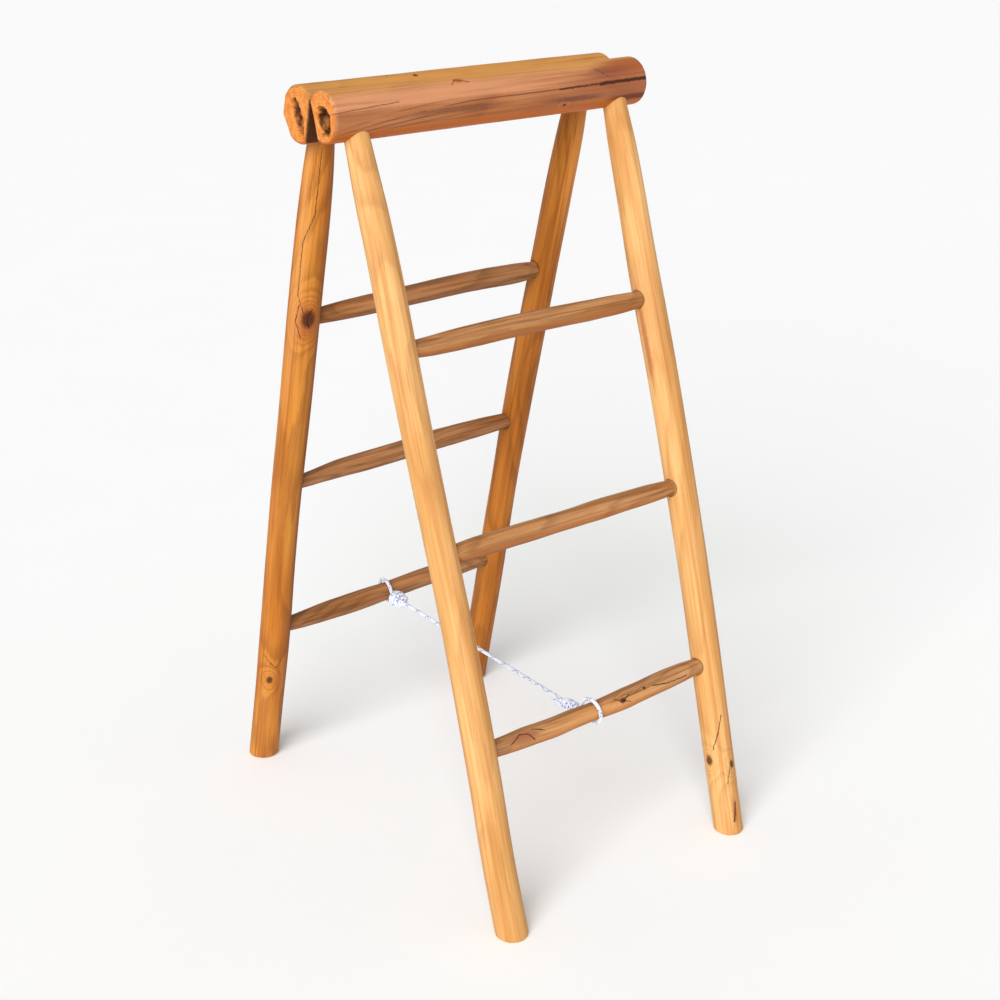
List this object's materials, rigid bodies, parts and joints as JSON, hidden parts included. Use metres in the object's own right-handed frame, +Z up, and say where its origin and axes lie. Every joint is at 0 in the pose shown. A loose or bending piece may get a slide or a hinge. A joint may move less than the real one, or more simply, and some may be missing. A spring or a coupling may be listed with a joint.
{
  "type": "folding ladder towel rack",
  "caption": "Folding A-frame towel rack of round teak wood: hinged ladder halves with thick top logs and rungs, held open by a tied braided cord.",
  "frame": {"origin": "on the floor, midway between the four feet and under the hinge line", "axes": "+Z up, +X along the top logs and rungs towards the right end, -Y towards the front ladder"},
  "size_m": [0.565, 0.7562, 1.1993],
  "materials": {
    "log_wood": "planed and sanded round teak log, pinkish brown with ochre streaks, thin oil finish",
    "front_leg_wood": "sanded round teak, light honey colour with fine streaks and small knots",
    "rear_leg_wood": "sanded round teak, deeper orange brown with dark knots",
    "rung_wood": "peeled teak branch, greyish brown, irregular",
    "hinge_steel": "satin zinc-plated butt hinge leaf",
    "pin_steel": "bright steel hinge pin",
    "screw_steel": "zinc-plated countersunk screws",
    "cord_braid": "white braided cord with blue and violet flecks"
  },
  "bodies": {
    "front_half": {"front_top_log": "log_wood", "front_left_leg": "front_leg_wood", "front_right_leg": "front_leg_wood", "front_upper_rung": "rung_wood", "front_middle_rung": "rung_wood", "front_lower_rung": "rung_wood", "left_hinge_front_leaf": "hinge_steel", "left_hinge_pin": "pin_steel", "right_hinge_front_leaf": "hinge_steel", "right_hinge_pin": "pin_steel", "left_front_screws": "screw_steel", "right_front_screws": "screw_steel"},
    "rear_half": {"rear_top_log": "log_wood", "rear_left_leg": "rear_leg_wood", "rear_right_leg": "rear_leg_wood", "rear_upper_rung": "rung_wood", "rear_middle_rung": "rung_wood", "rear_lower_rung": "rung_wood", "left_hinge_rear_leaf": "hinge_steel", "right_hinge_rear_leaf": "hinge_steel", "left_rear_screws": "screw_steel", "right_rear_screws": "screw_steel"},
    "front_tie": {"front_cord_loop": "cord_braid", "front_cord_knot": "cord_braid", "front_cord": "cord_braid"},
    "front_tie_end": {"front_cord_end": "cord_braid"},
    "rear_tie": {"rear_cord_loop": "cord_braid", "rear_cord_knot": "cord_braid", "rear_cord": "cord_braid"},
    "rear_tie_end": {"rear_cord_end": "cord_braid"}
  },
  "joints": [
    {"name": "fold", "type": "hinge", "parent": "front_half", "child": "rear_half", "pos_m": [0, 0, 1.182], "axis": [-1, 0, 0], "range_deg": [0, 30.4]},
    {"name": "front_tie_swing", "type": "hinge", "parent": "front_half", "child": "front_tie", "pos_m": [-0.006, -0.2785, 0.266], "axis": [-1, 0, 0], "range_deg": [0, 91.88], "deforming": ["front_cord"]},
    {"name": "front_tie_bend", "type": "hinge", "parent": "front_tie", "child": "front_tie_end", "pos_m": [-0.006, -0.049, 0.2615], "axis": [1, 0, 0], "range_deg": [0, 90], "deforming": ["front_cord_end"]},
    {"name": "rear_tie_swing", "type": "hinge", "parent": "rear_half", "child": "rear_tie", "pos_m": [-0.006, 0.2772, 0.2763], "axis": [1, 0, 0], "range_deg": [0, 118.52], "deforming": ["rear_cord"]},
    {"name": "rear_tie_bend", "type": "hinge", "parent": "rear_tie", "child": "rear_tie_end", "pos_m": [-0.006, 0.055, 0.2649], "axis": [-1, 0, 0], "range_deg": [0, 90], "deforming": ["rear_cord_end"]}
  ],
  "couplings": [
    {"joint": "front_tie_swing", "follows": "fold", "ratio": 3.0223},
    {"joint": "front_tie_bend", "follows": "fold", "ratio": 2.9605},
    {"joint": "rear_tie_swing", "follows": "fold", "ratio": 3.8986},
    {"joint": "rear_tie_bend", "follows": "fold", "ratio": 2.9605}
  ]
}
